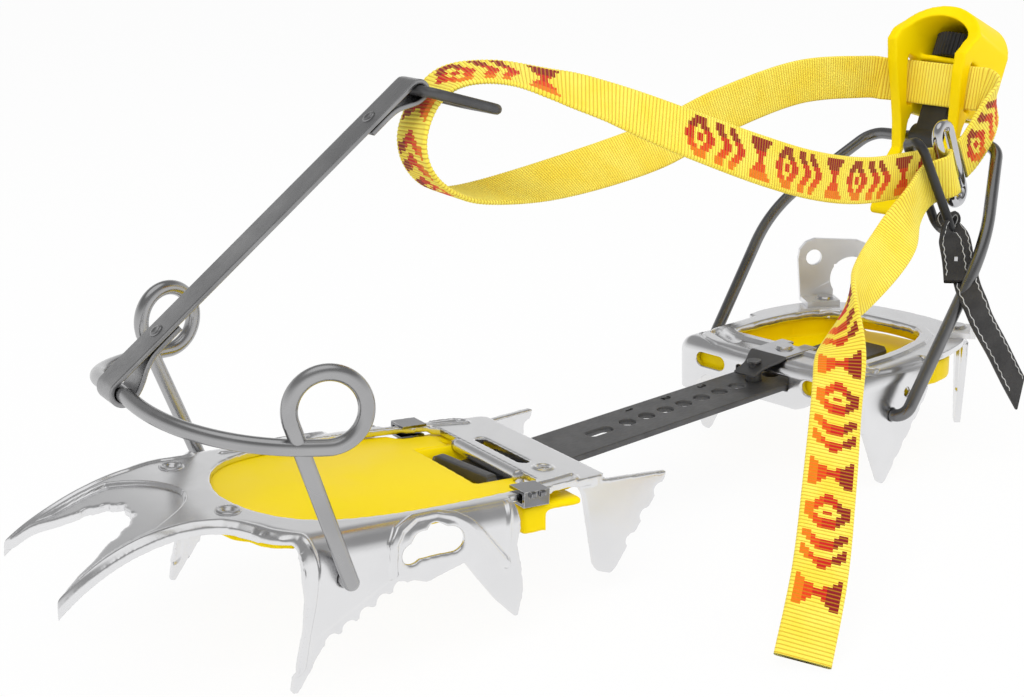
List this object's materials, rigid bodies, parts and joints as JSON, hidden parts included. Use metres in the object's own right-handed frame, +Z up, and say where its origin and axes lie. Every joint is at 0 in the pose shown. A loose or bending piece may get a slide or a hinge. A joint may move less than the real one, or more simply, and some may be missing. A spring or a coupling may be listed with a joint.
{
  "type": "mountaineering crampon",
  "caption": "Strapped boot crampon with toe bail, sliding link bar, heel lever, webbing strap and yellow anti-snow plates.",
  "frame": {"origin": "centre of the first round hole of the link bar, in the bar's top face", "axes": "+X along the link bar from toe to heel, +Z up out of the hole, +Y to the wearer's right"},
  "size_m": [0.3821, 0.1774, 0.1538],
  "materials": {
    "plate_steel": "satin",
    "rivet_steel": "satin",
    "spring_chrome": "polished",
    "wire_steel": "satin",
    "dark_steel": "satin",
    "yellow_plastic": "gloss",
    "black_plastic": "matte",
    "screw_steel": "satin",
    "webbing": "woven",
    "black_leather": "matte"
  },
  "bodies": {
    "bar": {"link_bar": "dark_steel"},
    "front_frame": {"front_plate": "plate_steel", "front_antiball": "yellow_plastic", "front_rivets": "rivet_steel", "clip_left": "spring_chrome", "clip_right": "spring_chrome"},
    "toe_bail": {"toe_bail": "wire_steel"},
    "toe_link": {"toe_link": "dark_steel", "link_rivets": "dark_steel"},
    "strap_ring": {"strap_ring": "dark_steel"},
    "heel_frame": {"heel_plate": "plate_steel", "heel_antiball": "yellow_plastic", "heel_post_left": "plate_steel", "heel_post_right": "plate_steel", "post_rivets": "rivet_steel", "lock_rivet": "rivet_steel"},
    "lock": {"lock_spring": "spring_chrome", "lock_pin": "rivet_steel"},
    "heel_bail": {"heel_bail": "wire_steel"},
    "block": {"adjust_block": "black_plastic"},
    "lever": {"heel_lever": "yellow_plastic", "webbing": "webbing"},
    "adjuster": {"adjust_screw": "screw_steel", "adjust_wheel": "black_plastic"},
    "buckle": {"buckle_ring": "spring_chrome", "buckle_loop": "dark_steel", "pull_tab": "black_leather", "tab_staple": "spring_chrome"}
  },
  "joints": [
    {"name": "front_flex", "type": "hinge", "parent": "bar", "child": "front_frame", "pos_m": [-0.05944, -0.00226, 0.00262], "axis": [0.1271, 0.9919, 0], "range_deg": [-1.2, 2.5]},
    {"name": "toe_bail_fold", "type": "hinge", "parent": "front_frame", "child": "toe_bail", "pos_m": [-0.12759, 0.00949, -0.00024], "axis": [0.1271, 0.9919, 0], "range_deg": [-8, 20]},
    {"name": "toe_link_fold", "type": "hinge", "parent": "toe_bail", "child": "toe_link", "pos_m": [-0.16697, 0.01454, 0.04758], "axis": [0.1271, 0.9919, 0], "range_deg": [-15, 20]},
    {"name": "strap_ring_swing", "type": "hinge", "parent": "toe_link", "child": "strap_ring", "pos_m": [-0.07728, 0.00305, 0.11494], "axis": [0.1271, 0.9919, 0], "range_deg": [-25, 25]},
    {"name": "length_adjust", "type": "slide", "parent": "bar", "child": "heel_frame", "axis": [1, 0, 0], "range_m": [-0.0348, 0], "deforming": ["lock_spring", "lock_pin", "webbing"]},
    {"name": "lock_lift", "type": "slide", "parent": "heel_frame", "child": "lock", "axis": [0, 0, 1], "range_m": [0, 0.0025], "stiffness_N_per_m": 400},
    {"name": "heel_bail_fold", "type": "hinge", "parent": "heel_frame", "child": "heel_bail", "pos_m": [0.0845, 0, -0.0086], "axis": [0, 1, 0], "range_deg": [-25, 10]},
    {"name": "lever_turn", "type": "hinge", "parent": "heel_bail", "child": "block", "pos_m": [0.159, 0, 0.071], "axis": [0, 1, 0], "range_deg": [-3, 80]},
    {"name": "lever_adjust", "type": "slide", "parent": "block", "child": "lever", "axis": [0.4067, 0, 0.9135], "range_m": [-0.0025, 0.0025]},
    {"name": "wheel_turn", "type": "hinge", "parent": "lever", "child": "adjuster", "pos_m": [0.159, 0, 0.071], "axis": [0.4067, 0, 0.9135], "range_deg": [-722, 722]},
    {"name": "buckle_swing", "type": "hinge", "parent": "lever", "child": "buckle", "pos_m": [0.13595, -0.0262, 0.0686], "axis": [-0.4106, 0, 0.9118], "range_deg": [0, 8], "deforming": ["pull_tab"]}
  ],
  "couplings": [
    {"joint": "wheel_turn", "follows": "lever_adjust", "rad_per_m": 5026.5}
  ]
}
